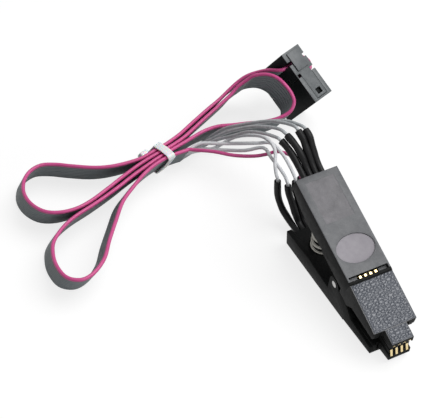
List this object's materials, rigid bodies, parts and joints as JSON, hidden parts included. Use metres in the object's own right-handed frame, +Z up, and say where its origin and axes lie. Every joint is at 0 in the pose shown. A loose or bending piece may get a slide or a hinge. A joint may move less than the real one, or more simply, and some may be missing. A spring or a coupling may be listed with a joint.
{
  "type": "ic test clip",
  "caption": "Spring-loaded test clip for a small-outline chip, with comb contacts at its nose, sleeved leads and a flat ribbon cable that ends in a pin header socket.",
  "frame": {"origin": "centre of the bounding box of the clip without its cable, at its base", "axes": "+X from the arms to the nose, +Y across, +Z up; the clip rests on its lower arm"},
  "size_m": [0.0948, 0.0825, 0.0299],
  "materials": {
    "jaw_plastic": "fine satin, glass-filled",
    "steel": "bright",
    "spring_steel": "drawn wire",
    "gold": "gold plated",
    "sleeve_black": "soft sheen",
    "wire_grey": "satin",
    "wire_pink": "satin",
    "tie_white": "satin",
    "socket_black": "satin",
    "cover_grey": "satin"
  },
  "bodies": {
    "lower_body": {"lower_jaw": "jaw_plastic", "hinge_pin": "steel", "jaw_spring": "spring_steel", "lower_contact_1": "gold", "lower_contact_2": "gold", "lower_contact_3": "gold", "lower_contact_4": "gold", "lower_sleeve_1": "sleeve_black", "lower_sleeve_2": "sleeve_black", "lower_sleeve_3": "sleeve_black", "lower_sleeve_4": "sleeve_black", "lead_1": "wire_pink", "lead_2": "wire_grey", "lead_3": "wire_grey", "lead_4": "wire_grey", "lead_5": "wire_grey", "lead_6": "wire_grey", "lead_7": "wire_grey", "lead_8": "wire_grey", "ribbon_cable": "wire_grey", "cable_tie": "tie_white", "connector_socket": "socket_black", "connector_cover": "cover_grey", "connector_strain_relief": "cover_grey", "connector_contacts": "gold"},
    "upper_body": {"upper_jaw": "jaw_plastic", "upper_contact_1": "gold", "upper_contact_2": "gold", "upper_contact_3": "gold", "upper_contact_4": "gold", "upper_sleeve_1": "sleeve_black", "upper_sleeve_2": "sleeve_black", "upper_sleeve_3": "sleeve_black", "upper_sleeve_4": "sleeve_black"}
  },
  "joints": [
    {"name": "jaw_pivot", "type": "hinge", "parent": "lower_body", "child": "upper_body", "pos_m": [0.00098, 0, 0.00758], "axis": [0, -1, 0], "range_deg": [0, 18], "stiffness_Nm_per_rad": 0.12, "springref_deg": -28.65, "deforming": ["jaw_spring", "lead_1", "lead_2", "lead_3", "lead_4", "lead_5", "lead_6", "lead_7", "lead_8"]}
  ]
}
